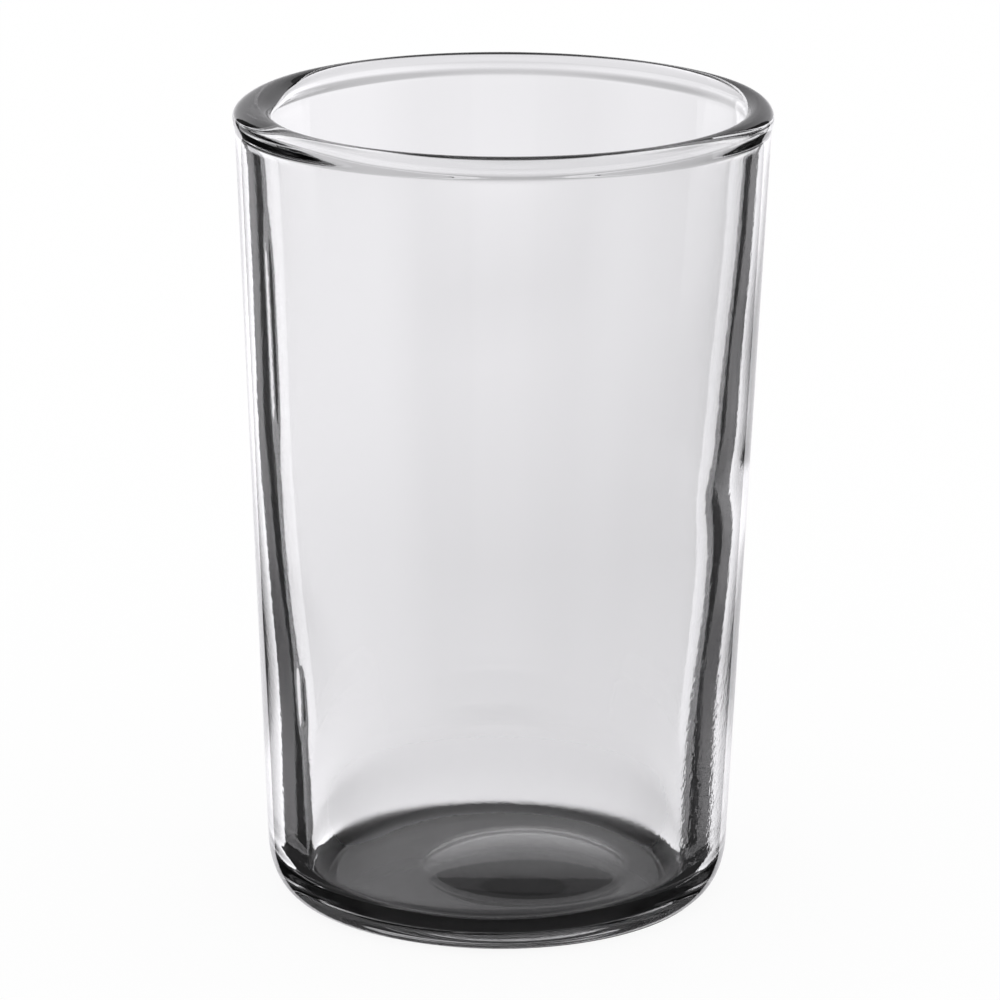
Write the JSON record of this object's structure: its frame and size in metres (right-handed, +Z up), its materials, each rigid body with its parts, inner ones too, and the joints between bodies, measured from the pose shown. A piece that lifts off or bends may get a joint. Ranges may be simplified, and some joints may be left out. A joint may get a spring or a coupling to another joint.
{
  "type": "tasting glass",
  "caption": "Straight-sided clear glass tumbler with a rounded beaded rim, a gently tapered thick wall and a shallow push-up under its base, for tasting drinks.",
  "frame": {"origin": "centre of the bearing ring's plane, where the glass stands on a table", "axes": "+Z up along the axis of revolution; the pictured side faces -Y and +X is to the right of it"},
  "size_m": [0.0586, 0.0586, 0.0889],
  "materials": {
    "clear_glass": "fire-polished gloss"
  },
  "bodies": {
    "root": {"glass_body": "clear_glass"}
  },
  "joints": []
}
